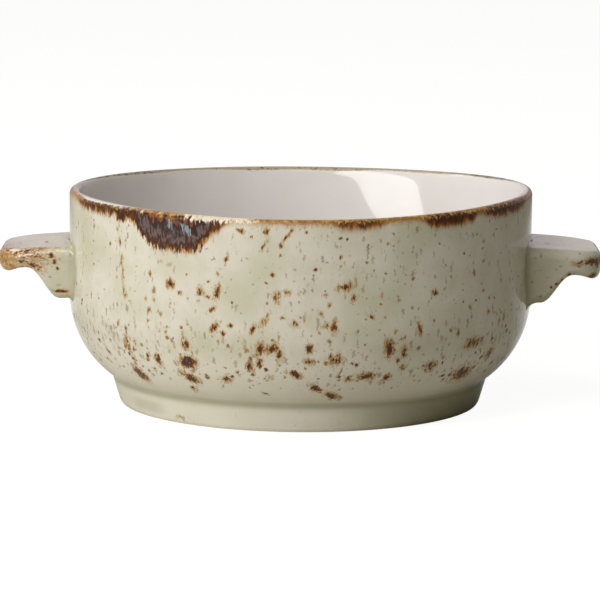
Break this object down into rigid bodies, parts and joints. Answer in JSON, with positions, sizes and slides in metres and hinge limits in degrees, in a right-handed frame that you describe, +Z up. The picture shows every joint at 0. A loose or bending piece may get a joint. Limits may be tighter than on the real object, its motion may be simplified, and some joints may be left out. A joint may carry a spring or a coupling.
{
  "type": "lug soup bowl",
  "caption": "Round stoneware soup bowl on a foot ring, with flat lug handles at its sides, white glaze inside, mottled green glaze outside and a brown rim.",
  "frame": {"origin": "centre of the overall box at its bottom, on the bowl's axis in the plane that its foot ring stands on", "axes": "+Z up along the bowl's axis, +X towards the right lug, -Y to the front that the picture shows"},
  "size_m": [0.163, 0.1254, 0.0575],
  "materials": {
    "clay": "matte",
    "slip": "matte",
    "white_glaze": "gloss",
    "green_glaze": "gloss",
    "brown_glaze": "gloss"
  },
  "bodies": {
    "root": {"bowl_body": "clay", "left_lug": "clay", "right_lug": "clay", "left_lug_slip": "slip", "right_lug_slip": "slip", "inside_glaze": "white_glaze", "outside_glaze": "green_glaze", "rim_glaze": "brown_glaze", "base_glaze": "green_glaze", "left_lug_glaze": "green_glaze", "right_lug_glaze": "green_glaze"}
  },
  "joints": []
}
